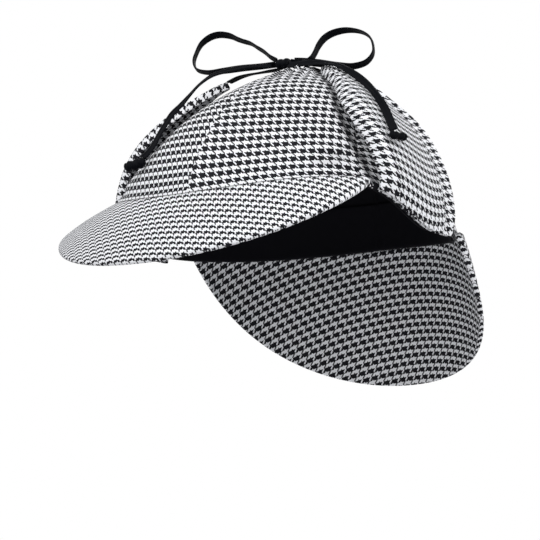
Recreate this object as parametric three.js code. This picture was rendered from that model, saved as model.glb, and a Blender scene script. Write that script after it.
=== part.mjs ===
// Deerstalker hat: gored crown, front and rear peaks, and two ear flaps folded up and tied on top.
// Millimetres, +Z up. The front peak points along -Y and the wearer's left is +X. The origin is the
// middle of the head opening, level with the centre front and the centre back of the rim.
import * as THREE from 'three';
import { RoundedBoxGeometry } from 'three/addons/geometries/RoundedBoxGeometry.js';
import { mergeVertices } from 'three/addons/utils/BufferGeometryUtils.js';

// Driving dimensions. Angles are in degrees, measured round from the centre front. A fullness of 2
// would make the crown an ellipsoid, and a lower one makes its top more pointed.
const gap = 0.3;
const crown = {
  halfLength: 97,
  halfWidth: 94.5,
  height: 88.5,
  setBack: 15,
  fullness: 1.8,
  wall: 2,
  gores: 6,
  crease: 1,
  sides: 60,
  rings: 14,
};
const band = { wall: 1.5, height: 28, showsBelow: 0.8, rings: 3 };
const tape = { width: 4.6, thick: 1.2, corner: 0.35, step: 10 };
const cloth = '#a3a4ab';
const flapCloth = '#a9aab0';
const frontCloth = '#9b9ca3';
const rearCloth = '#8f9097';
const lining = '#14151a';
const tapeBlack = '#101118';
const knotBlack = '#0e0f15';
const knots = {
  bow_knot: { at: [7, -14.4, 89.4], size: [9.6, 8.4, 6.6], along: [1, 0, 0] },
  tail_knot_right: { at: [-47.8, -80.8, 27.6], size: [11.5, 5.5, 5.5], along: [-0.84, -0.52, 0.14] },
  tail_knot_left: { at: [95.2, -33.6, 33.6], size: [11, 5.5, 5.5], along: [0.42, 0.9, -0.05] },
};
const knotRound = 1.6;

// The rim rises over the temples and dips over the ears, a little less over the right one.
const rimTable = [
  { angle: 0, height: 0 },
  { angle: 60, height: 7 },
  { angle: 90, height: -11.5 },
  { angle: 180, height: 0 },
  { angle: 270, height: -7.5 },
  { angle: 300, height: 7 },
  { angle: 360, height: 0 },
];

// Hollows in the crown: where the right flap's tie pulls the cloth in, beside the left flap and
// behind it. Its swells, with a negative depth, are the full front left gore and the cloth under the
// bow.
const dents = [
  { angle: -50, rise: 32, angleSpread: 20, riseSpread: 16, depth: 5 },
  { angle: 61, rise: 20, angleSpread: 9, riseSpread: 20, depth: 4 },
  { angle: 122, rise: 27, angleSpread: 26, riseSpread: 19, depth: 3.5 },
  { angle: 28, rise: 52, angleSpread: 32, riseSpread: 17, depth: -4.5 },
  { angle: 20, rise: 72, angleSpread: 45, riseSpread: 8, depth: -1 },
];

// A peak's seam runs halfAngle to each side of its middle. Its reach is length in the middle and
// falls off as 1 - |share| ** roundness to endReach. Its droop is below the horizontal.
const frontPeak = {
  middle: 0,
  halfAngle: 62,
  fan: 1.04,
  length: 50,
  roundness: 3.7,
  droop: 51.5,
  sideDroop: -30.5,
};
const rearPeak = {
  middle: 180,
  halfAngle: 70.4,
  fan: 0.86,
  length: 81.5,
  roundness: 2.05,
  droop: 70.8,
  sideDroop: 6.6,
};
const peakCut = { wall: 3, camber: 3, endReach: 2, seamRise: 1.5, panels: 30, rings: 6 };

// An ear flap from its fold at the rim to its tip by the bow: how far up the crown each row lies,
// the angles of its front and rear edges, and how far its front and its rear stand off the crown.
const flapRows = [
  { along: 0, rise: 1, front: 66, rear: 98, frontLift: 0.45, rearLift: 0.45 },
  { along: 0.04, rise: -2.2, front: 65.5, rear: 98.5, frontLift: 2.4, rearLift: 1.4 },
  { along: 0.09, rise: 2.5, front: 65.5, rear: 99.5, frontLift: 6, rearLift: 1.4 },
  { along: 0.2, rise: 14, front: 62, rear: 100, frontLift: 9, rearLift: 1 },
  { along: 0.4, rise: 28, front: 56, rear: 100, frontLift: 10, rearLift: 0.8 },
  { along: 0.56, rise: 38, front: 53.5, rear: 98, frontLift: 9, rearLift: 1 },
  { along: 0.68, rise: 44, front: 53, rear: 91, frontLift: 8, rearLift: 2 },
  { along: 0.8, rise: 51, front: 52.5, rear: 79, frontLift: 6.8, rearLift: 3.5 },
  { along: 0.92, rise: 58, front: 50.5, rear: 68, frontLift: 5.5, rearLift: 4.5 },
  { along: 1, rise: 63, front: 50, rear: 62, frontLift: 4.5, rearLift: 4.5 },
];
// The hem is the outer share of a flap's width: it curls in at the front edge and out at the rear.
const flapCut = { wall: 2.4, panels: 10, rings: 25, hem: 0.14, curl: 4, flare: 3.4 };
const flaps = {
  ear_flap_left: { side: 1, stand: 1 },
  ear_flap_right: { side: -1, stand: 0.84 },
};

// The tape's stretches. Each route is a list of chosen points, and width is the direction that the
// tape's width takes, so far as its run lets it. Both loops lean back and keep to one slant.
const loopWidth = [0.17, -0.86, 0.48];
const tapes = {
  tie_left: {
    width: [0, 1, 0],
    route: [
      [12.1, -13.4, 87.2],
      [18, -13.2, 87.6],
      [22.5, -13, 87.2],
      [27, -12.2, 86.4],
      [32.4, -11.4, 85.1],
    ],
  },
  tie_right: {
    width: [0, 1, 0],
    route: [
      [1.8, -12.6, 87.2],
      [-6, -12.4, 87.2],
      [-12, -12.4, 87.2],
      [-18, -12.4, 87.2],
      [-25, -12.2, 86.6],
      [-33, -11.4, 84.9],
    ],
  },
  bow_loop_right: {
    width: loopWidth,
    route: [
      [1.9, -13.2, 92.3],
      [-3, -12.8, 95],
      [-8, -12, 99],
      [-13.5, -11, 102.5],
      [-19, -10, 106],
      [-24, -10, 108],
      [-28.5, -9.5, 110],
      [-34.5, -9, 113],
      [-41.5, -10, 114.5],
      [-46.5, -11.5, 113.5],
      [-50.6, -14.5, 109.5],
      [-52, -17.5, 103.5],
      [-51.5, -20.5, 97.5],
      [-47.5, -22.8, 92],
      [-39, -23, 89.2],
      [-29.5, -21.5, 89.2],
      [-18.5, -18.5, 89.8],
      [-9.5, -16.3, 89.8],
      [-3, -15.2, 89.8],
      [1.9, -14.8, 89.8],
    ],
  },
  bow_loop_left: {
    width: loopWidth,
    route: [
      [12.9, -15.2, 89.7],
      [16.5, -14, 89],
      [20.5, -12.8, 88.8],
      [23.3, -11.3, 90.4],
      [24, -8.5, 94],
      [24.5, -5.5, 99],
      [26, -2.5, 103.5],
      [28.5, -0.5, 106],
      [32.5, 1, 107.5],
      [38, 2.5, 108],
      [44, 3.5, 107],
      [50, 3, 104.5],
      [54.5, 2, 101],
      [58, -0.5, 95.5],
      [59.5, -3.2, 89.8],
      [57, -5.5, 85.4],
      [49, -6, 84],
      [38.5, -5.5, 86],
      [26, -5.5, 89.6],
      [18, -8, 91],
      [12.1, -10.6, 91.4],
    ],
  },
  bow_tail_right: {
    width: [-0.72, 0.36, 0.56],
    route: [
      [1.4, -18.4, 88.2],
      [-4, -22, 88.4],
      [-10, -27, 87.6],
      [-16, -34.5, 85],
      [-22, -42, 81.5],
      [-27, -48, 75.5],
      [-31, -52, 69],
      [-34, -56, 63],
      [-37, -59.5, 58],
      [-39.5, -63.5, 50.5],
      [-40.5, -68, 43.5],
      [-41, -73, 36.5],
      [-42.2, -77, 32],
      [-43, -78.6, 30.9],
    ],
  },
  bow_tail_left: {
    width: [-0.74, -0.39, -0.55],
    route: [
      [12.8, -17.7, 87.6],
      [18.5, -17.6, 87],
      [23.5, -17.3, 87],
      [30.5, -16.8, 86.4],
      [37.5, -16.8, 85.2],
      [44.4, -17.4, 83.3],
      [51, -18.3, 79.9],
      [58.4, -19.6, 75.2],
      [66, -21.4, 69.4],
      [74.3, -24.6, 61.9],
      [82.4, -28, 52.6],
      [87.2, -31, 46],
      [90.8, -33, 40.3],
      [93, -34, 37],
    ],
  },
};

const { degToRad, lerp } = THREE.MathUtils;
const signedPower = (x, p) => Math.sign(x) * Math.abs(x) ** p;

// A table's row at a place between two of its rows, with every column worked out in proportion.
function rowAt(rows, column, place) {
  const last = rows.length - 1;
  const next = Math.max(1, Math.min(last, rows.findIndex((row) => place <= row[column])));
  const [from, to] = [rows[next - 1], rows[next]];
  const share = (place - from[column]) / (to[column] - from[column]);
  return Object.fromEntries(Object.keys(to).map((key) => [key, lerp(from[key], to[key], share)]));
}

// Height of the rim, which eases from one row of its table to the next.
function rimHeight(angle) {
  const place = (angle + 360) % 360;
  const next = Math.max(1, rimTable.findIndex((row) => place <= row.angle));
  const [from, to] = [rimTable[next - 1], rimTable[next]];
  const share = (place - from.angle) / (to.angle - from.angle);
  return lerp(from.height, to.height, 0.5 - 0.5 * Math.cos(Math.PI * share));
}

// How far the crown's surface lies inside its smooth dome: a crease at each seam between gores,
// which fades towards the apex, and the dents.
function sunk(angle, rise) {
  const seam = 1 - Math.abs(Math.sin((degToRad(angle) * crown.gores) / 2));
  let depth = crown.crease * seam ** 3 * Math.cos(degToRad(rise));
  for (const dent of dents) {
    const across = (((angle - dent.angle + 540) % 360) - 180) / dent.angleSpread;
    const up = (rise - dent.rise) / dent.riseSpread;
    depth += dent.depth * Math.exp(-across * across - up * up);
  }
  return depth;
}

// A point on the dome at an angle round it and a rise up it, off from the dome by some distance.
function domePoint(angle, rise, off) {
  const turn = degToRad(angle);
  const reach = signedPower(Math.cos(degToRad(rise)), 2 / crown.fullness);
  const lift = signedPower(Math.sin(degToRad(rise)), 2 / crown.fullness);
  return new THREE.Vector3(
    (crown.halfWidth + off) * reach * Math.sin(turn),
    -(crown.halfLength + off) * reach * Math.cos(turn) + crown.setBack * Math.max(lift, 0),
    (crown.height + off) * lift + rimHeight(angle) * (1 - lift),
  );
}

const crownPoint = (angle, rise, off) => domePoint(angle, rise, off - sunk(angle, rise));

// A copy of a closed geometry with only its positions, and each of them moved by a function.
function bend(geometry, place) {
  const bare = geometry.clone();
  bare.deleteAttribute('normal');
  bare.deleteAttribute('uv');
  const merged = mergeVertices(bare, 1e-4);
  const at = merged.getAttribute('position');
  const from = new THREE.Vector3();
  for (let i = 0; i < at.count; i++) {
    from.fromBufferAttribute(at, i);
    at.setXYZ(i, ...place(from).toArray());
  }
  merged.computeVertexNormals();
  return merged;
}

function material(color, roughness) {
  return new THREE.MeshStandardMaterial({ color, roughness, metalness: 0 });
}

const hat = new THREE.Group();
hat.name = 'deerstalker_hat';

function addPiece(name, geometry, finish) {
  const piece = new THREE.Mesh(geometry, finish);
  piece.name = name;
  hat.add(piece);
  return piece;
}

// The crown's wall as a turned profile of (rise, offset) points, outside from the apex to the rim
// and back up the inside, laid onto the dome.
function turnedWall(outside, inside, lowRise, highRise, rings) {
  const profile = [];
  const rise = (i) => lerp(lowRise, highRise, i / rings);
  for (let i = rings; i >= 0; i--) profile.push({ rise: rise(i), off: outside });
  for (let i = 0; i <= rings; i++) profile.push({ rise: rise(i), off: inside });
  return profile;
}

// A turned body whose profile points are numbered by their height, so that each can be placed.
function turned(profile, closedOnAxis) {
  const last = profile.length - 1;
  const points = profile.map((_, i) => {
    const onAxis = closedOnAxis && (i === 0 || i === last);
    return new THREE.Vector2(onAxis ? 0 : 1 + Math.sin((Math.PI * i) / last), -i);
  });
  if (!closedOnAxis) points.push(points[0].clone());
  const lathe = new THREE.LatheGeometry(points, crown.sides);
  return bend(lathe, (from) => {
    const angle = THREE.MathUtils.radToDeg(Math.atan2(from.x, -from.z));
    const { rise, off } = profile[Math.round(-from.y)];
    return crownPoint(angle, rise, off);
  });
}

function crownGeometry() {
  return turned(turnedWall(0, -crown.wall, 0, 90, crown.rings), true);
}

// The band inside the rim, which shows a little below it.
function bandGeometry() {
  const outside = -crown.wall - gap;
  const low = riseOf(-band.showsBelow);
  const high = riseOf(band.height);
  return turned(turnedWall(outside, outside - band.wall, low, high, band.rings), false);
}

function riseOf(height) {
  const share = signedPower(height / crown.height, crown.fullness / 2);
  return THREE.MathUtils.radToDeg(Math.asin(share));
}

// A sheet of cloth from a box: x is the share across it, y the share along it and z its thickness.
function sheet(panels, rings, surface) {
  const box = new THREE.BoxGeometry(1, 1, 1, panels, rings, 1);
  return bend(box, (from) => surface(from.x + 0.5, from.y + 0.5, from.z));
}

function peakGeometry(peak) {
  return sheet(peakCut.panels, peakCut.rings, (across, out, through) => {
    const share = 1 - 2 * across;
    const angle = peak.middle + share * peak.halfAngle;
    const turn = degToRad(peak.middle + share * peak.halfAngle * peak.fan);
    const droop = degToRad(peak.droop + peak.sideDroop * share * share);
    const heading = new THREE.Vector3(Math.sin(turn), -Math.cos(turn), 0);
    const down = heading.clone().multiplyScalar(Math.cos(droop));
    down.z = -Math.sin(droop);
    const face = heading.clone().multiplyScalar(Math.sin(droop));
    face.z = Math.cos(droop);
    const reach = peakCut.endReach + peak.length * (1 - Math.abs(share) ** peak.roundness);
    const bulge = peakCut.camber * (reach / peak.length) * 4 * out * (1 - out);
    const seam = domePoint(angle, 0, gap + (peakCut.wall / 2) * Math.sin(droop));
    seam.z += peakCut.seamRise;
    return seam
      .addScaledVector(down, out * reach)
      .addScaledVector(face, through * peakCut.wall + bulge);
  });
}

// A point of a flap, whose angles turn to its own side: it stands off in a straight slope from front to rear, and its hems
// turn by the square of the share of the hem that lies beyond.
function flapPoint(across, along, through, { side, stand }) {
  const row = rowAt(flapRows, 'along', along);
  const angle = side * lerp(row.front, row.rear, across);
  const turned = (edge) => Math.max(0, 1 - edge / flapCut.hem) ** 2 * Math.min(1, row.frontLift / 9);
  const slope = lerp(row.frontLift * stand, row.rearLift, across);
  const lift = slope - flapCut.curl * stand * turned(across) + flapCut.flare * turned(1 - across);
  return domePoint(angle, row.rise, lift + (0.5 + through) * flapCut.wall);
}

function flapGeometry(flap) {
  return sheet(flapCut.panels, flapCut.rings, (across, along, through) => {
    return flapPoint(flap.side > 0 ? across : 1 - across, along, through, flap);
  });
}

// A path whose cross-section keeps its width near one direction.
class TapePath extends THREE.CatmullRomCurve3 {
  constructor(route, width) {
    super(route.map((point) => new THREE.Vector3(...point)), false, 'centripetal');
    this.width = new THREE.Vector3(...width);
  }

  computeFrenetFrames(segments) {
    const frames = { tangents: [], normals: [], binormals: [] };
    for (let i = 0; i <= segments; i++) {
      const tangent = this.getTangentAt(i / segments);
      const across = this.width.clone().addScaledVector(tangent, -this.width.dot(tangent)).normalize();
      frames.tangents.push(tangent);
      frames.normals.push(across);
      frames.binormals.push(tangent.clone().cross(across));
    }
    return frames;
  }
}

// The flat section of the tape, with its four corners cut.
function tapeSection() {
  const w = tape.width / 2;
  const t = tape.thick / 2;
  const c = tape.corner;
  const section = new THREE.Shape();
  section.moveTo(w, c - t);
  section.lineTo(w, t - c);
  section.lineTo(w - c, t);
  section.lineTo(c - w, t);
  section.lineTo(-w, t - c);
  section.lineTo(-w, c - t);
  section.lineTo(c - w, -t);
  section.lineTo(w - c, -t);
  section.closePath();
  return section;
}

function tapeGeometry({ route, width }) {
  const path = new TapePath(route, width);
  return new THREE.ExtrudeGeometry(tapeSection(), {
    steps: Math.max(2, Math.round(path.getLength() / tape.step)),
    extrudePath: path,
    bevelEnabled: false,
  });
}

// A knot as a rounded block, set with its length along a direction.
function addKnot(name, { at, size, along }, finish) {
  const block = new RoundedBoxGeometry(...size, 2, knotRound);
  const heading = new THREE.Vector3(...along).normalize();
  const piece = addPiece(name, bend(block, (from) => from), finish);
  piece.position.set(...at);
  piece.quaternion.setFromUnitVectors(new THREE.Vector3(1, 0, 0), heading);
}

addPiece('crown', crownGeometry(), material(cloth, 0.85));
addPiece('front_peak', peakGeometry(frontPeak), material(frontCloth, 0.85));
addPiece('rear_peak', peakGeometry(rearPeak), material(rearCloth, 0.85));
for (const [name, flap] of Object.entries(flaps)) {
  addPiece(name, flapGeometry(flap), material(flapCloth, 0.85));
}
addPiece('sweatband', bandGeometry(), material(lining, 0.7));
for (const [name, stretch] of Object.entries(tapes)) {
  addPiece(name, tapeGeometry(stretch), material(tapeBlack, 0.55));
}
for (const [name, knot] of Object.entries(knots)) {
  addKnot(name, knot, material(knotBlack, 0.6));
}

export default hat;
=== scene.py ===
"""Deerstalker hat: houndstooth crown of six gores, two peaks, two ear flaps tied on top with a bow.

The hat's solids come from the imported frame, and each of them is dressed here with a finer surface
in the same place. Metres, +Z up, the front peak towards -Y and the wearer's left towards +X.
Angles are in degrees, measured round from the centre front towards the wearer's left.
"""

import math

import bpy
import numpy as np
from mathutils import Matrix, Vector


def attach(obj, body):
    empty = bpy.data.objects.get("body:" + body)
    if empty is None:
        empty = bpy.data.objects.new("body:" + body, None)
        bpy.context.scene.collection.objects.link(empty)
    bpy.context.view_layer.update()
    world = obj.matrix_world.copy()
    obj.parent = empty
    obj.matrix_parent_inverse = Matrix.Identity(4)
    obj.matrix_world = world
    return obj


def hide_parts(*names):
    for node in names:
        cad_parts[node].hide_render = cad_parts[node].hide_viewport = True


bl_info = {
    "name": "Deerstalker Hat",
    "version": (1, 0, 0),
    "blender": (4, 5, 0),
    "location": "View3D > Sidebar > Hat",
    "description": "Dresses the packed deerstalker hat in cloth, lining and tape",
    "category": "Object",
}

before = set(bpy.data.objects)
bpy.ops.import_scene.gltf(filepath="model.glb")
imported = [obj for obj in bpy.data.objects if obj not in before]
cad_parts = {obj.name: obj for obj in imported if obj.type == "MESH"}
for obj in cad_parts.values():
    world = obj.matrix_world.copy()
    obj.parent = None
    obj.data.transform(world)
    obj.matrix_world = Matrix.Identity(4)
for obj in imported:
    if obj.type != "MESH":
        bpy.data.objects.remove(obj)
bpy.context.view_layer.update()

BODY = "root"
IMAGE_SIDE = 540
SENSOR = 0.036

# The rim's height round the head: it rises over the temples and dips over the ears, a little less
# over the right one.
RIM = np.array([(0, 0), (60, 0.007), (90, -0.0115), (180, 0), (270, -0.0075), (300, 0.007), (360, 0)])


def table(columns, *rows):
    """Rows of numbers, each as a dictionary that holds them under the names of their columns."""
    return tuple(dict(zip(columns.split(), row)) for row in rows)


# Hollows in the crown, and with a negative depth its swells: how far each spreads in degrees round
# the crown and up it, and its depth.
DENTS = table(
    "angle rise angle_spread rise_spread depth",
    (-50, 32, 20, 16, 0.005),
    (61, 20, 9, 20, 0.004),
    (122, 27, 26, 19, 0.0035),
    (-46, 55, 24, 15, 0.0035),
    (28, 52, 32, 17, -0.0045),
    (20, 72, 45, 8, -0.001),
)

# Gathers in the crown's cloth: waves of some length in degrees, that run across their bearing. A
# bearing of 0 makes folds that run up the crown, and of 90 folds that run round it. The bow's tape
# also pulls the cloth under it up.
PULLED = {"angle": 42, "rise": 68, "angle_spread": 17, "rise_spread": 6.5, "depth": 0.0032}
GATHERS = table(
    "angle rise angle_spread rise_spread bearing wave depth",
    (24, 66, 20, 9, 12, 9.5, 0.0017),
    (38, 62, 14, 7, -25, 6.5, 0.001),
    (50, 12, 11, 9, 80, 5.5, 0.0012),
    (-47, 7, 10, 7, 70, 8, 0.0008),
)

# The crown's gores meet in a soft valley with a sharp groove in it, some degrees wide, and the rim is
# rolled out over a seam some degrees up.
GORES = 6
SEAM = {"valley": 0.001, "groove": 0.0007, "groove_spread": 0.6}
RIM_ROLL = {"out": 0.0011, "rise": 3, "rise_spread": 1.6}

# How the cloth lies on a piece: its place in the weave is a polynomial of its place in the piece,
# with a factor for each power in LIE_POWERS of the two places over LIE_SIZE. A short row leaves the
# later powers out, and pieces without a row lie as in LIE_PLAIN.
LIE_SIZE = 0.05
LIE_POWERS = ((1, 0), (0, 1), (2, 0), (1, 1), (0, 2), (3, 0), (2, 1), (1, 2), (0, 3))
LIE = {
    "gore_0": (
        (0.946, 0.018, -0.002, -0.027, 0.057, -0.069, 0.034, -0.002, -0.027),
        (0.012, 1.031, 0.01, 0.08, -0.211, 0, -0.098, -0.03, 0.068),
    ),
    "gore_5": (
        (0.847, -0.535, 0.242, -0.252, 0.783, 0.057, -0.096, 0.114, -0.19),
        (0.028, 1.041, -0.039, 0.055, -0.232, 0.001, 0.005, -0.034, 0.06),
    ),
    "front_peak": (
        (1.076, -0.032, -0.062, 0.21, 0.337, 0.005, -0.126, -0.11, -0.059),
        (-0.004, 0.816, 0.075, -0.068, -0.349, -0.042, 0.127, 0.051, -0.017),
    ),
    "rear_peak": ((0.752, -0.333), (0.056, 1.046)),
    "ear_flap_left": ((1.1, 0.1), (-0.16, 0.94)),
}
LIE_PLAIN = ((0.95, 0), (0, 0.95))

# A peak's seam runs half_angle to each side of its middle, and its length falls off by the power of
# roundness. Fanned is the share of that turn that its flat cloth takes.
FRONT_PEAK = {
    "middle": 0,
    "half_angle": 62,
    "fan": 1.04,
    "length": 0.05,
    "roundness": 3.7,
    "droop": 51.5,
    "side_droop": -30.5,
    "fanned": 0.95,
}
REAR_PEAK = {
    "middle": 180,
    "half_angle": 70.4,
    "fan": 0.86,
    "length": 0.0815,
    "roundness": 2.05,
    "droop": 70.8,
    "side_droop": 6.6,
    "fanned": 0.45,
}

# An ear flap's rows from its fold at the rim to its tip: share of its length, rise up the crown,
# angles of its front and rear edges, and how far its front and its rear stand off the crown.
FLAP_ROWS = np.array(
    [
        (0, 1, 66, 98, 0.00045, 0.00045),
        (0.04, -2.2, 65.5, 98.5, 0.0024, 0.0014),
        (0.09, 2.5, 65.5, 99.5, 0.006, 0.0014),
        (0.2, 14, 62, 100, 0.009, 0.001),
        (0.4, 28, 56, 100, 0.01, 0.0008),
        (0.56, 38, 53.5, 98, 0.009, 0.001),
        (0.68, 44, 53, 91, 0.008, 0.002),
        (0.8, 51, 52.5, 79, 0.0068, 0.0035),
        (0.92, 58, 50.5, 68, 0.0055, 0.0045),
        (1, 63, 50, 62, 0.0045, 0.0045),
    ]
)
FLAP_HEM = {"share": 0.14, "curl": 0.0068, "flare": 0.0034, "fuller": 0.35}

HEM_CHECK = {"scale": 0.7, "step": 0.0017}
FLAPS = {
    "ear_flap_left": {"side": 1, "stand": 1},
    "ear_flap_right": {"side": -1, "stand": 0.84},
}

# Each stretch of tape: the direction that its width takes, so far as its run lets it, how far it then
# turns about its run, in radians, and the points that it passes, in millimetres. Both loops lean back
# and keep to one slant.
LOOP_WIDTH = (0.17, -0.86, 0.48)
TAPES = {
    "tie_left": {
        "width": (0, 1, 0),
        "route": [
            (12.1, -13.4, 87.2),
            (18, -13.2, 87.6),
            (22.5, -13, 87.2),
            (27, -12.2, 86.4),
            (32.4, -11.4, 85.1),
        ],
    },
    "tie_right": {
        "width": (0, 1, 0),
        "route": [
            (1.8, -12.6, 87.2),
            (-6, -12.4, 87.2),
            (-12, -12.4, 87.2),
            (-18, -12.4, 87.2),
            (-25, -12.2, 86.6),
            (-33, -11.4, 84.9),
        ],
    },
    "bow_loop_right": {
        "width": LOOP_WIDTH,
        "route": [
            (1.9, -13.2, 92.3),
            (-3, -12.8, 95),
            (-8, -12, 99),
            (-13.5, -11, 102.5),
            (-19, -10, 106),
            (-24, -10, 108),
            (-28.5, -9.5, 110),
            (-34.5, -9, 113),
            (-41.5, -10, 114.5),
            (-46.5, -11.5, 113.5),
            (-50.6, -14.5, 109.5),
            (-52, -17.5, 103.5),
            (-51.5, -20.5, 97.5),
            (-47.5, -22.8, 92),
            (-39, -23, 89.2),
            (-29.5, -21.5, 89.2),
            (-18.5, -18.5, 89.8),
            (-9.5, -16.3, 89.8),
            (-3, -15.2, 89.8),
            (1.9, -14.8, 89.8),
        ],
    },
    "bow_loop_left": {
        "width": LOOP_WIDTH,
        "route": [
            (12.9, -15.2, 89.7),
            (16.5, -14, 89),
            (20.5, -12.8, 88.8),
            (23.3, -11.3, 90.4),
            (24, -8.5, 94),
            (24.5, -5.5, 99),
            (26, -2.5, 103.5),
            (28.5, -0.5, 106),
            (32.5, 1, 107.5),
            (38, 2.5, 108),
            (44, 3.5, 107),
            (50, 3, 104.5),
            (54.5, 2, 101),
            (58, -0.5, 95.5),
            (59.5, -3.2, 89.8),
            (57, -5.5, 85.4),
            (49, -6, 84),
            (38.5, -5.5, 86),
            (26, -5.5, 89.6),
            (18, -8, 91),
            (12.1, -10.6, 91.4),
        ],
    },
    "bow_tail_right": {
        "width": (-0.72, 0.36, 0.56),
        "turn": 0.22,
        "route": [
            (1.4, -18.4, 88.2),
            (-4, -22, 88.4),
            (-10, -27, 87.6),
            (-16, -34.5, 85),
            (-22, -42, 81.5),
            (-27, -48, 75.5),
            (-31, -52, 69),
            (-34, -56, 63),
            (-37, -59.5, 58),
            (-39.5, -63.5, 50.5),
            (-40.5, -68, 43.5),
            (-41, -73, 36.5),
            (-42.2, -77, 32),
            (-43, -78.6, 30.9),
        ],
    },
    "bow_tail_left": {
        "width": (-0.74, -0.39, -0.55),
        "turn": -0.5,
        "route": [
            (12.8, -17.7, 87.6),
            (18.5, -17.6, 87),
            (23.5, -17.3, 87),
            (30.5, -16.8, 86.4),
            (37.5, -16.8, 85.2),
            (44.4, -17.4, 83.3),
            (51, -18.3, 79.9),
            (58.4, -19.6, 75.2),
            (66, -21.4, 69.4),
            (74.3, -24.6, 61.9),
            (82.4, -28, 52.6),
            (87.2, -31, 46),
            (90.8, -33, 40.3),
            (93, -34, 37),
        ],
    },
}

# Where each knot sits, its size and the direction of its length, in millimetres, how often its tape
# goes round it, and how much its ends flare.
KNOTS = {
    "bow_knot": {
        "at": (7, -14.4, 89.4),
        "size": (9.6, 8.4, 6.6),
        "along": (1, 0, 0),
        "wraps": 1.3,
        "flare": 0.1,
    },
    "tail_knot_right": {
        "at": (-45.6, -81.5, 26.4),
        "size": (12.5, 6.6, 6.6),
        "along": (-0.82, -0.5, -0.27),
        "wraps": 1.7,
        "flare": 0.12,
    },
    "tail_knot_left": {
        "at": (95.2, -33.6, 33.6),
        "size": (11, 5.5, 5.5),
        "along": (0.42, 0.9, -0.05),
        "wraps": 1.7,
        "flare": 0.25,
    },
}


class HatShape(bpy.types.PropertyGroup):
    """Sizes of the crown, the peaks' cloth and the flaps."""

    half_length: bpy.props.FloatProperty(
        name="Half length", description="Crown's reach to the front", default=0.097, unit="LENGTH"
    )
    half_width: bpy.props.FloatProperty(
        name="Half width", description="Crown's reach to each side", default=0.0945, unit="LENGTH"
    )
    height: bpy.props.FloatProperty(
        name="Height", description="Crown's height over the rim", default=0.0885, unit="LENGTH"
    )
    set_back: bpy.props.FloatProperty(
        name="Set back", description="How far the apex lies behind", default=0.015, unit="LENGTH"
    )
    fullness: bpy.props.FloatProperty(
        name="Fullness", description="2 is an ellipsoid and less is more pointed", default=1.8
    )
    crown_wall: bpy.props.FloatProperty(
        name="Crown wall", description="Thickness of the crown", default=0.002, unit="LENGTH"
    )
    peak_wall: bpy.props.FloatProperty(
        name="Peak wall", description="Thickness of a peak", default=0.003, unit="LENGTH"
    )
    flap_wall: bpy.props.FloatProperty(
        name="Flap wall", description="Thickness of an ear flap", default=0.0024, unit="LENGTH"
    )
    tape_width: bpy.props.FloatProperty(
        name="Tape width", description="Width of the tie tape", default=0.0047, unit="LENGTH"
    )
    tape_thick: bpy.props.FloatProperty(
        name="Tape thickness", description="Thickness of the tape", default=0.0012, unit="LENGTH"
    )


class HatFinish(bpy.types.PropertyGroup):
    """Colours of the hat's cloth and tape, and the size of its check."""

    repeat: bpy.props.FloatProperty(
        name="Check repeat", description="One repeat of the check", default=0.00472, unit="LENGTH"
    )
    warp_share: bpy.props.FloatProperty(
        name="Warp share", description="Threads of every 4 where the warp shows", default=1.5
    )
    crown_threads: bpy.props.FloatProperty(
        name="Crown's dark", description="Dark threads of every 8, crown and rear peak", default=4.65
    )
    peak_threads: bpy.props.FloatProperty(
        name="Front peak's dark", description="Dark threads of every 8, front peak", default=3.95
    )
    flap_threads: bpy.props.FloatProperty(
        name="Flaps' dark", description="Dark threads of every 8, flaps", default=4.1
    )
    light: bpy.props.FloatVectorProperty(
        name="Light yarn", description="Light yarn's colour", default=(0.84, 0.85, 0.88), subtype="COLOR"
    )
    dark: bpy.props.FloatVectorProperty(
        name="Dark yarn", description="Dark yarn's colour", default=(0.008, 0.008, 0.01), subtype="COLOR"
    )
    tape: bpy.props.FloatVectorProperty(
        name="Tape", description="Tie tape's colour", default=(0.0018, 0.0022, 0.0035), subtype="COLOR"
    )
    lining: bpy.props.FloatVectorProperty(
        name="Lining", description="Lining's colour", default=(0.006, 0.006, 0.008), subtype="COLOR"
    )


def signed_power(value, power):
    """A power that keeps the sign of its base."""
    return np.sign(value) * np.abs(value) ** power


def rim_height(angle):
    """The rim's height, easing from one row of its table to the next by half a cosine wave."""
    place = np.asarray(angle) % 360
    places, heights = RIM.T
    row = np.clip(np.searchsorted(places, place), 1, len(places) - 1)
    share = (place - places[row - 1]) / (places[row] - places[row - 1])
    ease = 0.5 - 0.5 * np.cos(np.pi * share)
    return heights[row - 1] + (heights[row] - heights[row - 1]) * ease


def dome(angle, rise, off):
    """A superellipsoid over the rim: reach is a power of the rise's cosine, and height is the same
    power of its sine, which also carries the apex back. Off is the distance outside it."""
    shape = bpy.context.scene.hat_shape
    turn = np.radians(angle)
    reach = signed_power(np.cos(np.radians(rise)), 2 / shape.fullness)
    lift = signed_power(np.sin(np.radians(rise)), 2 / shape.fullness)
    x = (shape.half_width + off) * reach * np.sin(turn)
    y = -(shape.half_length + off) * reach * np.cos(turn) + shape.set_back * np.maximum(lift, 0)
    z = (shape.height + off) * lift + rim_height(angle) * (1 - lift)
    return np.stack(np.broadcast_arrays(x, y, z), -1)


def bell(value):
    """A smooth bump of height 1 at 0."""
    return np.exp(-value * value)


def smooth_step(low, high, value):
    share = np.clip((value - low) / (high - low), 0, 1)
    return share * share * (3 - 2 * share)


def around(angle, centre):
    """The angle's distance from a centre, from -180 to 180 degrees."""
    return (angle - centre + 540) % 360 - 180


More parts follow.
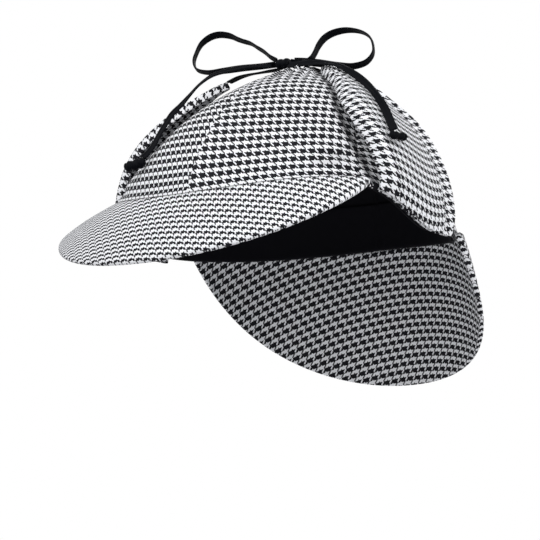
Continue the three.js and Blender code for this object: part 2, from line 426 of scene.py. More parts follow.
def smooth_rows(table, places):
    """Every column of a table at some places along its first one, on a cubic curve through the rows
    whose slope at each row is the slope between its neighbours."""
    keys = table[:, 0]
    slopes = np.gradient(table, keys, axis=0)
    row = np.clip(np.searchsorted(keys, places), 1, len(keys) - 1)
    span = (keys[row] - keys[row - 1])[:, None]
    t = (np.asarray(places)[:, None] - keys[row - 1][:, None]) / span
    start, end = table[row - 1], table[row]
    rise, fall = slopes[row - 1] * span, slopes[row] * span
    return (
        start * (2 * t**3 - 3 * t**2 + 1)
        + rise * (t**3 - 2 * t**2 + t)
        + end * (3 * t**2 - 2 * t**3)
        + fall * (t**3 - t**2)
    )


def loft(name, rings, uv, lined=None):
    """A closed mesh through rings of points, an array of stations by points by 3, whose two end rings
    are closed with a fan round their mean. The uv array is stations by panels by points of a panel
    plus one by 2, so that a pattern can break between panels. The lined array is
    how black each point is: the lining, and painted shade and shadow."""
    stations, around_count = rings.shape[:2]
    panels, per_panel = uv.shape[1], uv.shape[2] - 1
    if panels * per_panel != around_count:
        raise ValueError(f"{name}: the uv panels don't match the ring")
    vertices = np.concatenate([rings.reshape(-1, 3), rings[:1].mean(1), rings[-1:].mean(1)])
    ring = np.arange(around_count)
    after = (ring + 1) % around_count
    rows = np.arange(stations - 1)[:, None] * around_count
    nexts = rows + around_count
    quads = np.stack([rows + ring, rows + after, nexts + after, nexts + ring], -1)
    quad_uv = np.stack([uv[:-1, :, :-1], uv[:-1, :, 1:], uv[1:, :, 1:], uv[1:, :, :-1]], -2)
    first_pole = stations * around_count
    base = (stations - 1) * around_count
    low_fan = np.stack([after, ring, np.full_like(ring, first_pole)], -1)
    high_fan = np.stack([base + ring, base + after, np.full_like(ring, first_pole + 1)], -1)
    low_uv = fan_uv(uv[0])[:, [1, 0, 2]]
    high_uv = fan_uv(uv[-1])
    quads = quads.reshape(-1, 4)
    fans = np.concatenate([low_fan, high_fan])
    quad_uv = quad_uv.reshape(-1, 4, 2)
    if volume(vertices, quads, fans) < 0:
        quads, fans = quads[:, ::-1], fans[:, ::-1]
        quad_uv, low_uv, high_uv = (part[:, ::-1] for part in (quad_uv, low_uv, high_uv))
    corner_uv = np.concatenate([part.reshape(-1, 2) for part in (quad_uv, low_uv, high_uv)])
    if lined is not None:
        lined = np.concatenate([lined.ravel(), lined[0, :1], lined[-1, :1]])
    return add_mesh(name, vertices, quads, fans, corner_uv, lined)


def fan_uv(edge):
    """The corners of a fan's triangles from a ring's uv, with the pole at each panel's mean."""
    middle = np.broadcast_to(edge[:, :-1].mean(1, keepdims=True), edge[:, :-1].shape)
    return np.stack([edge[:, :-1], edge[:, 1:], middle], -2).reshape(-1, 3, 2)


def volume(vertices, quads, triangles):
    """Six times the signed volume inside closed faces, from the triple product of each one."""
    halves = np.concatenate([quads[:, [0, 1, 2]], quads[:, [0, 2, 3]], triangles])
    a, b, c = (vertices[halves[:, k]] for k in range(3))
    return np.einsum("ij,ij->", a, np.cross(b, c))


def add_mesh(name, vertices, quads, triangles, corner_uv, lined=None):
    mesh = bpy.data.meshes.new(name)
    corners = np.concatenate([quads.ravel(), triangles.ravel()])
    sizes = np.concatenate([np.full(len(quads), 4), np.full(len(triangles), 3)])
    mesh.vertices.add(len(vertices))
    mesh.vertices.foreach_set("co", vertices.astype(np.float32).ravel())
    mesh.loops.add(len(corners))
    mesh.loops.foreach_set("vertex_index", corners.astype(np.int32))
    mesh.polygons.add(len(sizes))
    starts = np.concatenate([[0], np.cumsum(sizes)[:-1]])
    mesh.polygons.foreach_set("loop_start", starts.astype(np.int32))
    layer = mesh.uv_layers.new(name="cloth")
    layer.uv.foreach_set("vector", corner_uv.astype(np.float32).ravel())
    if lined is not None:
        attribute = mesh.attributes.new("lined", "FLOAT", "POINT")
        attribute.data.foreach_set("value", lined.astype(np.float32))
    mesh.update(calc_edges=True)
    if mesh.validate():
        raise ValueError(f"{name}: its mesh had faces that had to be mended")
    mesh.shade_smooth()
    piece = bpy.data.objects.new(name, mesh)
    bpy.context.scene.collection.objects.link(piece)
    return piece


def dress(piece, material, node):
    """The piece gets its material, rides on the hat's body and stands for a solid."""
    piece.data.materials.append(material)
    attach(piece, BODY)
    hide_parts(node)
    return piece


def stadium(count, half_share):
    """Points round a flat strip with round edges: how far across it, from 0 to 1, and through it, from
    -0.5 to 0.5. The first half of the points covers the outer face and the second the inner one.
    Half_share is half the strip's thickness as a share of its width, for each station."""
    quarter = np.linspace(0, 1, count // 2 + 1)
    arc = 0.14
    turn = np.pi / 2 * (smooth_step(1 - arc, 1, quarter) - (1 - smooth_step(0, arc, quarter)))
    flat = np.clip((quarter - arc) / (1 - 2 * arc), 0, 1)
    across = half_share[:, None] * (1 + np.sin(turn)) + flat * (1 - 2 * half_share[:, None])
    through = 0.5 * np.cos(turn)
    return across, np.broadcast_to(through, across.shape)


def lie(across, along, name):
    """The place in the weave of each place in a piece, by the piece's row of LIE."""
    a, b = across / LIE_SIZE, along / LIE_SIZE
    powers = [a**i * b**j for i, j in LIE_POWERS]
    rows = LIE.get(name, LIE_PLAIN)
    return tuple(LIE_SIZE * sum(f * p for f, p in zip(row, powers)) for row in rows)


class Nodes:
    """Short calls for a material's nodes."""

    def __init__(self, name):
        self.material = bpy.data.materials.new(name)
        self.material.use_nodes = True
        self.tree = self.material.node_tree
        self.shader = self.tree.nodes["Principled BSDF"]

    def add(self, kind, **values):
        node = self.tree.nodes.new(kind)
        for key, value in values.items():
            setattr(node, key, value)
        return node

    def link(self, socket, value):
        if isinstance(value, bpy.types.NodeSocket):
            self.tree.links.new(value, socket)
        else:
            socket.default_value = value

    def math(self, operation, *values):
        node = self.add("ShaderNodeMath", operation=operation)
        for socket, value in zip(node.inputs, values):
            self.link(socket, value)
        return node.outputs[0]

    def mix(self, share, low, high):
        node = self.add("ShaderNodeMix", data_type="RGBA")
        self.link(node.inputs["Factor"], share)
        self.link(node.inputs["A"], low)
        self.link(node.inputs["B"], high)
        return node.outputs["Result"]

    def noise(self, scale, detail, vector):
        node = self.add("ShaderNodeTexNoise")
        node.inputs["Scale"].default_value = scale
        node.inputs["Detail"].default_value = detail
        self.link(node.inputs["Vector"], vector)
        return node.outputs["Fac"]

    def bump(self, height, distance, strength=1.0, normal=None):
        node = self.add("ShaderNodeBump")
        node.inputs["Strength"].default_value = strength
        node.inputs["Distance"].default_value = distance
        self.link(node.inputs["Height"], height)
        if normal is not None:
            self.link(node.inputs["Normal"], normal)
        return node.outputs["Normal"]

    def object_place(self):
        return self.add("ShaderNodeTexCoord").outputs["Object"]

    def cloth_place(self):
        """The two directions of the piece's own uv map, in metres."""
        split = self.add("ShaderNodeSeparateXYZ")
        self.link(split.inputs[0], self.add("ShaderNodeUVMap", uv_map="cloth").outputs["UV"])
        return split.outputs["X"], split.outputs["Y"]


def colour(value, scale=1.0):
    return (*(scale * part for part in value), 1.0)


def houndstooth(name, dark_threads):
    """Houndstooth woven as a 2/2 twill of four dark and four light threads each way, of which the dark
    ones may lie wider or narrower. A crossing shows its warp thread where column and row add up to
    less than the warp's share of every 4, and elsewhere its weft thread, which is the thicker."""
    finish = bpy.context.scene.hat_finish
    n = Nodes(name)
    across, along = n.cloth_place()
    pitch = finish.repeat / 8
    columns = n.math("DIVIDE", across, pitch)
    rows = n.math("DIVIDE", along, pitch)
    column = n.math("FLOOR", columns)
    row = n.math("FLOOR", rows)
    whole, place = n.math("ADD", column, row), n.math("ADD", columns, rows)
    step = n.math("MULTIPLY", n.math("ADD", whole, place), 0.5)
    warp_dark = n.math("LESS_THAN", n.math("FLOORED_MODULO", columns, 8.0), dark_threads)
    weft_dark = n.math("LESS_THAN", n.math("FLOORED_MODULO", rows, 8.0), dark_threads)
    warp_shows = n.math("LESS_THAN", n.math("FLOORED_MODULO", step, 4.0), finish.warp_share)
    picked = n.add("ShaderNodeMix", data_type="FLOAT")
    n.link(picked.inputs["Factor"], warp_shows)
    n.link(picked.inputs["A"], weft_dark)
    n.link(picked.inputs["B"], warp_dark)
    dark = picked.outputs["Result"]

    place = n.object_place()
    cloud = n.noise(28.0, 3.0, place)
    fleck = n.noise(2600.0, 1.0, place)
    light_yarn = n.mix(n.math("MULTIPLY", fleck, 0.35), colour(finish.light), colour(finish.light, 0.9))
    dark_yarn = n.mix(n.math("MULTIPLY", fleck, 0.6), colour(finish.dark), colour(finish.dark, 2.4))
    woven = n.mix(dark, light_yarn, dark_yarn)
    shade = n.add("ShaderNodeMapRange")
    n.link(shade.inputs["Value"], cloud)
    n.link(shade.inputs["To Min"], 0.94)
    n.link(shade.inputs["To Max"], 1.03)
    toned = n.add("ShaderNodeVectorMath", operation="SCALE")
    n.link(toned.inputs[0], woven)
    n.link(toned.inputs["Scale"], shade.outputs["Result"])
    # The attribute darkens the cloth to the lining's colour: on the crown's inner face, which is its
    # lining, painted shade in the crown's gathers and beside the flaps' front edges, a painted shadow
    # along the peaks' seams, and a dark line inside the flaps' hems.
    lined = n.add("ShaderNodeAttribute", attribute_name="lined").outputs["Fac"]
    n.link(n.shader.inputs["Base Color"], n.mix(lined, toned.outputs[0], colour(finish.lining)))

    warp_round = n.math("PINGPONG", columns, 0.5)
    weft_round = n.math("PINGPONG", rows, 0.5)
    relief = n.add("ShaderNodeMix", data_type="FLOAT")
    n.link(relief.inputs["Factor"], warp_shows)
    n.link(relief.inputs["A"], weft_round)
    n.link(relief.inputs["B"], warp_round)
    fuzz = n.bump(fleck, 0.00008, 0.5)
    n.link(n.shader.inputs["Normal"], n.bump(relief.outputs["Result"], 0.00016, 0.6, fuzz))
    n.link(n.shader.inputs["Roughness"], n.math("ADD", n.math("MULTIPLY", cloud, 0.12), 0.74))
    n.shader.inputs["Specular IOR Level"].default_value = 0.08
    n.shader.inputs["Sheen Weight"].default_value = 0.01
    n.shader.inputs["Sheen Roughness"].default_value = 0.4
    return n.material


def ribbed_black(name, tone, rib, roughness):
    """Black cloth with a fine rib across it."""
    n = Nodes(name)
    ribs = n.math("PINGPONG", n.math("DIVIDE", n.cloth_place()[1], rib), 0.5)
    fibre = n.noise(1900.0, 2.0, n.object_place())
    worn = n.math("MULTIPLY", n.math("MULTIPLY", ribs, fibre), 0.9)
    n.link(n.shader.inputs["Base Color"], n.mix(worn, colour(tone), colour(tone, 3.2)))
    n.link(n.shader.inputs["Normal"], n.bump(ribs, 0.00012, 0.6, n.bump(fibre, 0.00006, 0.5)))
    n.link(n.shader.inputs["Roughness"], n.math("ADD", n.math("MULTIPLY", fibre, 0.25), roughness))
    n.shader.inputs["Specular IOR Level"].default_value = 0.06
    n.shader.inputs["Sheen Weight"].default_value = 0.005
    n.shader.inputs["Sheen Roughness"].default_value = 0.35
    return n.material


def shared(name, make, *values):
    """A material by name, made the first time that it is asked for."""
    return bpy.data.materials.get(name) or make(name, *values)


def cloth(part):
    """The houndstooth of the crown, the front peak or the flaps, by its own share of dark threads."""
    finish = bpy.context.scene.hat_finish
    return shared(f"woven_{part}", houndstooth, getattr(finish, part + "_threads"))


def black_tape():
    finish = bpy.context.scene.hat_finish
    return shared("tie_tape", ribbed_black, finish.tape, 0.00045, 0.38)


def black_lining():
    finish = bpy.context.scene.hat_finish
    return shared("lining_twill", ribbed_black, finish.lining, 0.0007, 0.6)


class HAT_OT_stage(bpy.types.Operator):
    """Makes the camera, the pale floor and the soft light"""

    bl_idname = "hat.stage"
    bl_label = "Stage"

    def execute(self, context):
        add_camera(context.scene)
        add_floor(context.scene)
        add_lights(context.scene)
        return {"FINISHED"}


def add_camera(scene):
    """The camera looks at the hat from its front left and a little below its rim."""
    azimuth, elevation, distance = math.radians(35), math.radians(-10.5), 1.5
    pixels_per_metre = 1780
    origin_x, origin_y = 288.2, 225.6
    back = Vector(
        (
            math.sin(azimuth) * math.cos(elevation),
            -math.cos(azimuth) * math.cos(elevation),
            math.sin(elevation),
        )
    )
    right = Vector((math.cos(azimuth), math.sin(azimuth), 0))
    up = back.cross(right)
    data = bpy.data.cameras.new("camera")
    data.sensor_width = SENSOR * 1000
    data.lens = SENSOR * 1000 * pixels_per_metre * distance / IMAGE_SIDE
    data.shift_x = (IMAGE_SIDE / 2 - origin_x) / IMAGE_SIDE
    data.shift_y = (origin_y - IMAGE_SIDE / 2) / IMAGE_SIDE
    camera = bpy.data.objects.new("camera", data)
    turn = Matrix((right, up, back)).transposed().to_4x4()
    camera.matrix_world = Matrix.Translation(back * distance) @ turn
    scene.collection.objects.link(camera)
    scene.camera = camera


def add_floor(scene):
    """A plain pale floor well under the hat, which is held up as a head holds it."""
    side, height = 3.0, -0.36
    mesh = bpy.data.meshes.new("floor")
    corners = [(x * side, y * side, height) for x, y in ((-1, -1), (1, -1), (1, 1), (-1, 1))]
    mesh.from_pydata(corners, [], [(0, 1, 2, 3)])
    floor = bpy.data.objects.new("floor", mesh)
    scene.collection.objects.link(floor)
    n = Nodes("floor_paper")
    n.shader.inputs["Base Color"].default_value = (0.55, 0.55, 0.56, 1)
    n.shader.inputs["Roughness"].default_value = 0.9
    mesh.materials.append(n.material)


def add_lights(scene):
    """A large soft light over the front, a weak one beside it and one behind, in a surround that is
    white near the horizon and dimmer overhead."""
    lights = (
        ("key_light", (-0.1, -1.6, 1.5), 1.5, 23),
        ("fill_light", (1.7, -0.2, 0.9), 1.3, 13),
        ("back_light", (-0.6, 1.6, 1.3), 1.4, 6),
    )
    for name, at, size, power in lights:
        data = bpy.data.lights.new(name, "AREA")
        data.shape = "DISK"
        data.size = size
        data.energy = power
        light = bpy.data.objects.new(name, data)
        light.location = at
        light.rotation_euler = (-Vector(at)).to_track_quat("-Z", "Y").to_euler()
        scene.collection.objects.link(light)
    world = bpy.data.worlds.new("surround")
    world.use_nodes = True
    nodes, links = world.node_tree.nodes, world.node_tree.links
    split = nodes.new("ShaderNodeSeparateXYZ")
    fade = nodes.new("ShaderNodeMapRange")
    fade.inputs["From Min"].default_value = 0.36
    fade.inputs["From Max"].default_value = 0.75
    fade.inputs["To Min"].default_value = 1.0
    fade.inputs["To Max"].default_value = 0.4
    links.new(nodes.new("ShaderNodeTexCoord").outputs["Generated"], split.inputs[0])
    links.new(split.outputs["Z"], fade.inputs["Value"])
    links.new(fade.outputs["Result"], nodes["Background"].inputs["Strength"])
    nodes["Background"].inputs["Color"].default_value = (1, 1, 1, 1)
    scene.world = world
    scene.view_settings.view_transform = "Standard"


def path_points(route, spacing):
    """Evenly spaced points on a centripetal spline through a route's points."""
    points = np.array(route, float) / 1000
    ends = np.concatenate([[2 * points[0] - points[1]], points, [2 * points[-1] - points[-2]]])
    knots = np.concatenate([[0], np.cumsum(np.linalg.norm(np.diff(ends, axis=0), axis=1) ** 0.5)])
    per_span = 40
    spans = zip(knots[1 : len(points)], knots[2 : len(points) + 1])
    t = np.concatenate([np.linspace(low, high, per_span, endpoint=False) for low, high in spans])
    t = np.append(t, knots[len(points)])
    k = np.clip(np.searchsorted(knots, t, side="right") - 1, 1, len(points) - 1)
    t0, t1, t2, t3 = (knots[k + j][:, None] for j in (-1, 0, 1, 2))
    p0, p1, p2, p3 = (ends[k + j] for j in (-1, 0, 1, 2))
    s = t[:, None]
    a1 = (t1 - s) / (t1 - t0) * p0 + (s - t0) / (t1 - t0) * p1
    a2 = (t2 - s) / (t2 - t1) * p1 + (s - t1) / (t2 - t1) * p2
    a3 = (t3 - s) / (t3 - t2) * p2 + (s - t2) / (t3 - t2) * p3
    b1 = (t2 - s) / (t2 - t0) * a1 + (s - t0) / (t2 - t0) * a2
    b2 = (t3 - s) / (t3 - t1) * a2 + (s - t1) / (t3 - t1) * a3
    curve = (t2 - s) / (t2 - t1) * b1 + (s - t1) / (t2 - t1) * b2
    length = np.concatenate([[0], np.cumsum(np.linalg.norm(np.diff(curve, axis=0), axis=1))])
    steps = max(2, int(round(length[-1] / spacing)))
    places = np.linspace(0, length[-1], steps + 1)
    return np.stack([np.interp(places, length, curve[:, axis]) for axis in range(3)], -1), length[-1]


def across_path(points, width):
    """The tape's heading at each point, and its width's direction: the wanted one less the part of it
    that lies along the heading."""
    tangents = np.gradient(points, axis=0)
    tangents /= np.linalg.norm(tangents, axis=1, keepdims=True)
    wanted = np.array(width, float)
    across = wanted - tangents * (tangents @ wanted)[:, None]
    across /= np.linalg.norm(across, axis=1, keepdims=True)
    return tangents, across


def tape_piece(name, stretch):
    """A flat sewn strip carried along its path. Its section is a superellipse that is thinner along
    the seam in its middle, and it rocks a little to and fro about its path."""
    shape = bpy.context.scene.hat_shape
    points, length = path_points(stretch["route"], 0.001)
    tangents, across = across_path(points, stretch["width"])
    face = np.cross(tangents, across)
    along = np.linspace(0, length, len(points))
    held = np.sin(np.pi * np.clip(along / length, 0, 1))
    rocks, rock_run = 0.2, 0.0071
    rock = held * (stretch.get("turn", 0) + rocks * np.sin(along / rock_run + len(name)))
    cosine, sine = np.cos(rock)[:, None], np.sin(rock)[:, None]
    across, face = across * cosine + face * sine, face * cosine - across * sine
    turn = np.linspace(0, 2 * np.pi, 36, endpoint=False)
    x = shape.tape_width / 2 * signed_power(np.cos(turn), 0.62)
    seam_depth, seam_width = 0.6, 0.0003
    seam = 1 - seam_depth * bell(x / seam_width)
    y = shape.tape_thick / 2 * signed_power(np.sin(turn), 0.6) * seam
    rings = points[:, None] + x[None, :, None] * across[:, None] + y[None, :, None] * face[:, None]
    ring_uv = np.linspace(0, 2 * shape.tape_width, len(turn) + 1)
    uv = np.stack(np.broadcast_arrays(ring_uv[None, None, :], along[:, None, None]), -1)
    piece = loft(name + "_tape", rings, uv)
    dress(piece, black_tape(), name)
    return piece, points, length


class HAT_OT_tapes(bpy.types.Operator):
    """Makes the ties, the bow's loops and its tails from flat tape"""

    bl_idname = "hat.tapes"
    bl_label = "Tapes"

    def execute(self, context):
        for name, stretch in TAPES.items():
            piece, points, length = tape_piece(name, stretch)
        return {"FINISHED"}


def knot_piece(name, knot):
    """A barrel of wrapped tape: its girth is a superellipse along its length that flares towards its
    ends, with a helix of grooves round it."""
    stations, count = 70, 80
    size = np.array(knot["size"]) / 2000
    x = signed_power(np.cos(np.linspace(0, np.pi, stations)), 0.7)
    turn = np.linspace(0, 2 * np.pi, count, endpoint=False)
    girth = np.clip(1 - np.abs(x) ** 3.2, 0, 1) ** 0.45 * (1 - knot["flare"] * bell(x / 0.45))
    wrap_groove, crossing_groove = 0.2, 0.08
    wave = np.cos(2 * np.pi * knot["wraps"] * x[:, None] + turn[None, :])
    crossing = np.cos(np.pi * knot["wraps"] * x[:, None] - 2 * turn[None, :])
    grooves = wrap_groove * (0.5 - 0.5 * wave) ** 4 + crossing_groove * (0.5 - 0.5 * crossing) ** 6
    radius = girth[:, None] * (1 - grooves)
    local = np.stack(
        np.broadcast_arrays(
            size[0] * x[:, None],
            size[1] * radius * np.cos(turn),
            size[2] * radius * np.sin(turn),
        ),
        -1,
    )
    heading = Vector(knot["along"]).normalized()
    turned = np.array(Vector((1, 0, 0)).rotation_difference(heading).to_matrix())
    rings = local @ turned.T + np.array(knot["at"]) / 1000
    along = np.linspace(0, size[0] * 2, stations)
    ring_uv = np.linspace(0, np.pi * size[1] * 2, count + 1)
    uv = np.stack(np.broadcast_arrays(along[:, None, None], ring_uv[None, None, :]), -1)
    return dress(loft(name + "_tape", rings, uv), black_tape(), name)


class HAT_OT_knots(bpy.types.Operator):
    """Makes the bow's knot and the knots that end its tails"""

    bl_idname = "hat.knots"
    bl_label = "Knots"

    def execute(self, context):
        for name, knot in KNOTS.items():
            knot_piece(name, knot)
        return {"FINISHED"}


def crown_sunk(angle, rise):
    """How far the crown lies inside its dome: a soft valley and a sharp groove at each seam between
    gores, both fading towards the apex, and the dents."""
    valley = SEAM["valley"] * (1 - np.abs(np.sin(np.radians(angle) * GORES / 2))) ** 3
    off_seam = around(angle * GORES, 0) / GORES
    groove = SEAM["groove"] * bell(off_seam / SEAM["groove_spread"])
    depth = (valley + groove) * np.cos(np.radians(rise))
    for dent in DENTS:
        across = around(angle, dent["angle"]) / dent["angle_spread"]
        up = (rise - dent["rise"]) / dent["rise_spread"]
        depth = depth + dent["depth"] * bell(across) * bell(up)
    return depth


def gathered(angle, rise):
    """How far the gathers push the crown in or out: each is a sine wave across its bearing that fades
    by a bell curve round its place."""
    depth = np.zeros(np.broadcast(angle, rise).shape)
    for fold in GATHERS:
        across = around(angle, fold["angle"])
        up = rise - fold["rise"]
        bearing = math.radians(fold["bearing"])
        run = across * math.cos(bearing) + up * math.sin(bearing)
        fade = bell(across / fold["angle_spread"]) * bell(up / fold["rise_spread"])
        depth = depth + fold["depth"] * fade * np.sin(2 * np.pi * run / fold["wave"])
    across = around(angle, PULLED["angle"]) / PULLED["angle_spread"]
    up = (rise - PULLED["rise"]) / PULLED["rise_spread"]
    return depth - PULLED["depth"] * bell(across) * bell(up)


def painted_crown_shade(angle, rise):
    """Painted shade: how dark the crown is painted in its gathers' troughs, and with the shadow that
    each flap's front edge casts beside it.
    """
    trough_painted_shade, edge_painted_shadow = 0.75, 0.85
    before_edge, edge_spread = 1.2, 1.7
    troughs = trough_painted_shade * smooth_step(0.0004, 0.0022, gathered(angle, rise))
    edge = np.interp(rise, FLAP_ROWS[2:, 1], FLAP_ROWS[2:, 2])
    off_edge = np.abs(around(angle, 0)) - edge + before_edge
    return np.maximum(troughs, edge_painted_shadow * bell(off_edge / edge_spread) * (rise > 1))


def gore_uv(shape, local, up):
    """The place of each point in its flat gore: across it is the turn from the gore's middle, worked
    out as on a sphere, and along it is the way up, which bows a little towards the gore's seams."""
    mean = (shape.half_length + shape.half_width) / 2
    climb = np.clip(up / up.max() * 90, 0, 89)
    height = np.radians(climb)[:, None]
    turn = np.radians(local)[None, :]
    across = mean * np.arcsin(np.cos(height) * np.sin(turn)) * 1.03
    bow = np.arctan2(np.tan(height), np.cos(turn * 0.5)) / np.maximum(height, 1e-6)
    return across, up[:, None] * np.where(height > 1e-6, bow, 1)


class HAT_OT_crown(bpy.types.Operator):
    """Makes the crown of six gores, with its lining"""

    bl_idname = "hat.crown"
    bl_label = "Crown"

    def execute(self, context):
        shape = context.scene.hat_shape
        per_gore, outer, inner, top = 88, 128, 26, 89.6
        wide = 360 / GORES
        even = np.linspace(0, 1, per_gore + 1)
        local = wide * (even - 0.1 * np.sin(2 * np.pi * even) - 0.5)
        angles = (wide * (0.5 + np.arange(GORES))[:, None] + local[None, :-1]).ravel()
        outer_rise = 90 * (1 - np.linspace(0, 1, outer) ** 0.9)
        outer_rise[0] = top
        roll = np.linspace(0, 1, 7)[1:-1]
        rise = np.concatenate([outer_rise, np.zeros(len(roll)), np.linspace(0, top, inner)])
        wall = shape.crown_wall
        off = np.concatenate([np.zeros(outer), -wall * roll, np.full(inner, -wall)])
        lower = np.concatenate([np.zeros(outer), 0.0008 * np.sin(np.pi * roll), np.zeros(inner)])
        sunk = crown_sunk(angles[None, :], rise[:, None])
        outside = (np.arange(len(rise)) < outer)[:, None]
        sunk = sunk + outside * gathered(angles[None, :], rise[:, None])
        over_seam = bell((rise[:, None] - RIM_ROLL["rise"]) / RIM_ROLL["rise_spread"])
        rolled = outside * RIM_ROLL["out"] * over_seam
        rings = dome(angles[None, :], rise[:, None], off[:, None] - sunk + rolled)
        rings[..., 2] -= lower[:, None]
        steps = np.linalg.norm(np.diff(rings[:, per_gore // 2], axis=0), axis=1)
        up = np.concatenate([[0], np.cumsum(steps)])
        up = np.abs(up[outer - 1] - up)
        across, along = gore_uv(shape, local, up)
        laid = [lie(across, along, f"gore_{gore}") for gore in range(GORES)]
        uv = np.array(laid).transpose(2, 0, 3, 1)
        uv[..., 0] += 0.0131 * np.arange(GORES)[:, None]
        lined = smooth_step(outer, outer + 4, np.arange(len(rise)))[:, None]
        # The crown's outer face is painted darker, as shade, in its gathers' troughs and beside the
        # flaps' front edges.
        lined = np.maximum(lined, outside * painted_crown_shade(angles[None, :], rise[:, None]))
        piece = loft("crown_cloth", rings, uv, lined)
        dress(piece, cloth("crown"), "crown")
        return {"FINISHED"}


def along_ring(rings, face):
    """How far each point of a ring lies from the seam along its face, in two halves that meet at the
    outer edge."""
    closed = np.concatenate([rings, rings[:, :1]], 1)
    steps = np.linalg.norm(np.diff(closed, axis=1), axis=2)
    run = np.concatenate([np.zeros((len(rings), 1)), np.cumsum(steps, 1)], 1)
    top = run[:, : face + 1]
    under = top[:, -1:] - (run[:, face:] - run[:, face : face + 1])
    return np.stack([top, under], 1)


def peak_rings(name, peak):
    """A peak as rings round its section, one for each place along its seam. Its reach falls off as 1
    less a power of the share from the middle, it droops along a straight slope with a slight camber,
    and its outer edge is a half circle. Its top face is painted dark along its seam with the crown, as
    the shadow that the crown's rolled rim casts there."""
    shape = bpy.context.scene.hat_shape
    wall = shape.peak_wall
    stations, face = 170, 52
    even = np.linspace(-1, 1, stations)
    share = np.sin(even * np.pi / 2) * 0.35 + even * 0.65
    angle = peak["middle"] + share * peak["half_angle"]
    turn = np.radians(peak["middle"] + share * peak["half_angle"] * peak["fan"])
    droop = np.radians(peak["droop"] + peak["side_droop"] * share**2)
    heading = np.stack([np.sin(turn), -np.cos(turn), np.zeros_like(turn)], -1)
    down = heading * np.cos(droop)[:, None]
    down[:, 2] = -np.sin(droop)
    normal = heading * np.sin(droop)[:, None]
    normal[:, 2] = np.cos(droop)
    reach = 0.002 + peak["length"] * (1 - np.abs(share) ** peak["roundness"])
    seam = dome(angle, 0.0, 0.0003 + wall / 2 * np.sin(droop))
    seam[:, 2] += 0.0015
    flat = reach[:, None] - wall / 2
    bend = 0.84
    t = np.linspace(0, 1, face + 1)
    arc = np.clip((t - bend) / (1 - bend), 0, 1) * np.pi / 2
    out = flat * np.clip(t / bend, 0, 1) + wall / 2 * np.sin(arc)
    through = np.broadcast_to(0.5 * np.cos(arc), out.shape)
    out = np.concatenate([out[:, :-1], out[:, :0:-1]], 1)
    through = np.concatenate([through[:, :-1], -through[:, :0:-1]], 1)
    part_out = out / reach[:, None]
    camber = 0.003 * (1 + 0.5 * np.minimum(share, 0)) * reach / peak["length"]
    bulge = camber[:, None] * 4 * part_out * (1 - part_out)
    rings = (
        seam[:, None]
        + out[..., None] * down[:, None]
        + (through * wall + bulge)[..., None] * normal[:, None]
    )
    spread = (share * math.radians(peak["half_angle"]) * peak["fanned"])[:, None, None]
    seam_arc = shape.half_length / peak["fanned"]
    place = seam_arc + along_ring(rings, face)
    across, along = place * np.sin(spread), seam_arc - place * np.cos(spread)
    uv = np.stack(lie(across, along, name), -1)
    # Painted shadow: the top face darkens along the seam, where the crown's rolled rim overhangs it.
    seam_shadow_strength, seam_at, seam_width = 0.9, 0.0002, 0.0011
    seam_shadow = seam_shadow_strength * bell((out - seam_at) / seam_width) * (through > 0)
    return rings, uv, seam_shadow


class HAT_OT_peaks(bpy.types.Operator):
    """Makes the front peak and the rear peak"""

    bl_idname = "hat.peaks"
    bl_label = "Peaks"

    def execute(self, context):
        for name, peak in (("front_peak", FRONT_PEAK), ("rear_peak", REAR_PEAK)):
            rings, uv, seam_shadow = peak_rings(name, peak)
            piece = loft(name + "_cloth", rings, uv, seam_shadow)
            dress(piece, cloth("peak" if name == "front_peak" else "crown"), name)
        return {"FINISHED"}


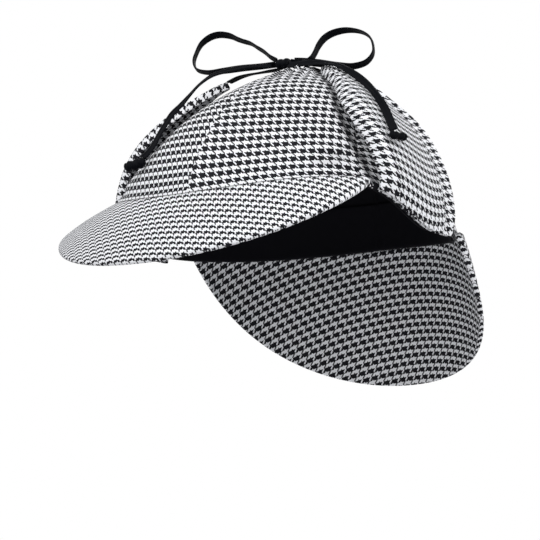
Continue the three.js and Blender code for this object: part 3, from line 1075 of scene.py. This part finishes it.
def flap_piece(name, flap):
    """An ear flap as rings round its section, one for each place along it. It stands off the dome in a
    straight slope from front to rear, its hems turn by the square of the share of the hem that lies
    beyond, and its edges are half circles. Each hem is a panel of its own with a larger check."""
    shape = bpy.context.scene.hat_shape
    stations, face, panels = 170, 72, 8
    wall, hem, mean_reach = shape.flap_wall, FLAP_HEM["share"], 0.1
    along = np.linspace(0, 1, stations)
    rise, front, rear, front_lift, rear_lift = smooth_rows(FLAP_ROWS, along)[:, 1:].T
    width = mean_reach * np.cos(np.radians(rise)) * np.radians(rear - front)
    across, through = stadium(2 * face, wall / 2 / width)
    across = np.concatenate([across[:, :-1], across[:, :0:-1]], 1)
    through = np.concatenate([through[:, :-1], -through[:, :0:-1]], 1)
    angle = flap["side"] * (front[:, None] + (rear - front)[:, None] * across)
    turned = np.minimum(1, front_lift / 0.009)[:, None]
    front_hem = np.clip(1 - across / hem, 0, 1) ** 2 * turned
    rear_hem = np.clip(1 - (1 - across) / hem, 0, 1) ** 2 * turned
    slope = front_lift[:, None] * flap["stand"] * (1 - across) + rear_lift[:, None] * across
    lift = slope - FLAP_HEM["curl"] * flap["stand"] * front_hem + FLAP_HEM["flare"] * rear_hem
    tip = smooth_step(0.62, 1, along)[:, None]
    pleat, pleats = 0.0009, 4.5
    gather = tip * pleat * np.sin(across * 2 * np.pi * pleats + 0.6)
    in_hem = bell((across - hem * 0.5) / (hem * 0.45)) + bell((1 - across - hem * 0.5) / (hem * 0.45))
    fuller = 1 + FLAP_HEM["fuller"] * in_hem * turned
    off = lift + (0.5 + through * fuller) * wall + gather
    rings = dome(angle, rise[:, None], off)
    middle = rings[:, face // 2]
    length = np.concatenate([[0], np.cumsum(np.linalg.norm(np.diff(middle, axis=0), axis=1))])
    run = along_ring(rings, face).reshape(stations, 2, -1)
    run = run - run[:, :1, face // 2 : face // 2 + 1]
    per_panel = face // (panels // 2)
    starts = np.arange(panels // 2)[:, None] * per_panel + np.arange(per_panel + 1)
    run = run[:, :, starts].reshape(stations, panels, per_panel + 1)
    high = np.broadcast_to(length[:, None, None], run.shape).copy()
    for panel in (0, 3, 4, 7):
        run[:, panel] *= HEM_CHECK["scale"]
        high[:, panel] += HEM_CHECK["step"]
    across_uv, along_uv = lie(flap["side"] * run, high, name)
    uv = np.stack([across_uv, along_uv], -1)
    # A dark line darkens the flap just inside each hem, as far as that hem is turned.
    hem_line = bell((across - hem * 1.1) / 0.008) + bell((1 - across - hem * 1.1) / 0.008)
    piece = loft(name + "_cloth", rings, uv, 0.5 * hem_line * turned)
    return dress(piece, cloth("flap"), name)


class HAT_OT_ear_flaps(bpy.types.Operator):
    """Makes the two ear flaps, folded up over the crown"""

    bl_idname = "hat.ear_flaps"
    bl_label = "Ear flaps"

    def execute(self, context):
        for name, flap in FLAPS.items():
            flap_piece(name, flap)
        return {"FINISHED"}


class HAT_OT_sweatband(bpy.types.Operator):
    """Makes the black band inside the rim, a closed ring with a rounded flat section"""

    bl_idname = "hat.sweatband"
    bl_label = "Sweatband"

    def execute(self, context):
        shape = context.scene.hat_shape
        wall, height, below, gap = 0.0015, 0.028, 0.0008, 0.0003
        count = 360
        angles = np.linspace(0, 360, count, endpoint=False)
        high, low = (
            np.degrees(np.arcsin(signed_power(z / shape.height, shape.fullness / 2)))
            for z in (height, -below)
        )
        turn = np.linspace(0, 2 * np.pi, 60, endpoint=False)
        up = signed_power(np.sin(turn), 0.35)
        rise = (high + low) / 2 + (high - low) / 2 * up
        off = -shape.crown_wall - gap - wall / 2 + wall / 2 * signed_power(np.cos(turn), 0.5)
        sunk = crown_sunk(angles[:, None], rise[None, :])
        rings = dome(angles[:, None], rise[None, :], off[None, :] - sunk)
        vertices = rings.reshape(-1, 3)
        ring = np.arange(len(turn))
        after = (ring + 1) % len(turn)
        rows = np.arange(count)[:, None] * len(turn)
        nexts = ((np.arange(count) + 1) % count)[:, None] * len(turn)
        quads = np.stack([rows + ring, rows + after, nexts + after, nexts + ring], -1).reshape(-1, 4)
        u = np.linspace(0, 2 * (height + below), len(turn) + 1)
        v = np.linspace(0, 0.6, count + 1)
        grid = np.stack(np.broadcast_arrays(u[None, :], v[:, None]), -1)
        uv = np.stack([grid[:-1, :-1], grid[:-1, 1:], grid[1:, 1:], grid[1:, :-1]], -2).reshape(-1, 4, 2)
        none = np.empty((0, 3), int)
        if volume(vertices, quads, none) < 0:
            quads, uv = quads[:, ::-1], uv[:, ::-1]
        piece = add_mesh("sweatband_ribbon", vertices, quads, none, uv.reshape(-1, 2))
        dress(piece, black_lining(), "sweatband")
        return {"FINISHED"}


class HAT_PT_sidebar(bpy.types.Panel):
    """The hat's sizes, colours and pieces"""

    bl_idname = "HAT_PT_sidebar"
    bl_label = "Deerstalker hat"
    bl_space_type = "VIEW_3D"
    bl_region_type = "UI"
    bl_category = "Hat"

    def draw(self, context):
        for group in (context.scene.hat_shape, context.scene.hat_finish):
            for name in group.__annotations__:
                self.layout.prop(group, name)
        for operator in OPERATORS:
            self.layout.operator(operator.bl_idname)


OPERATORS = (
    HAT_OT_stage,
    HAT_OT_tapes,
    HAT_OT_knots,
    HAT_OT_crown,
    HAT_OT_peaks,
    HAT_OT_ear_flaps,
    HAT_OT_sweatband,
)
CLASSES = (HatShape, HatFinish, *OPERATORS, HAT_PT_sidebar)


def register():
    for each in CLASSES:
        bpy.utils.register_class(each)
    bpy.types.Scene.hat_shape = bpy.props.PointerProperty(type=HatShape)
    bpy.types.Scene.hat_finish = bpy.props.PointerProperty(type=HatFinish)


def unregister():
    del bpy.types.Scene.hat_finish
    del bpy.types.Scene.hat_shape
    for each in reversed(CLASSES):
        bpy.utils.unregister_class(each)


def main():
    register()
    bpy.ops.hat.stage()
    bpy.ops.hat.tapes()
    bpy.ops.hat.knots()
    bpy.ops.hat.crown()
    bpy.ops.hat.peaks()
    bpy.ops.hat.ear_flaps()
    bpy.ops.hat.sweatband()


if __name__ == "__main__":
    main()
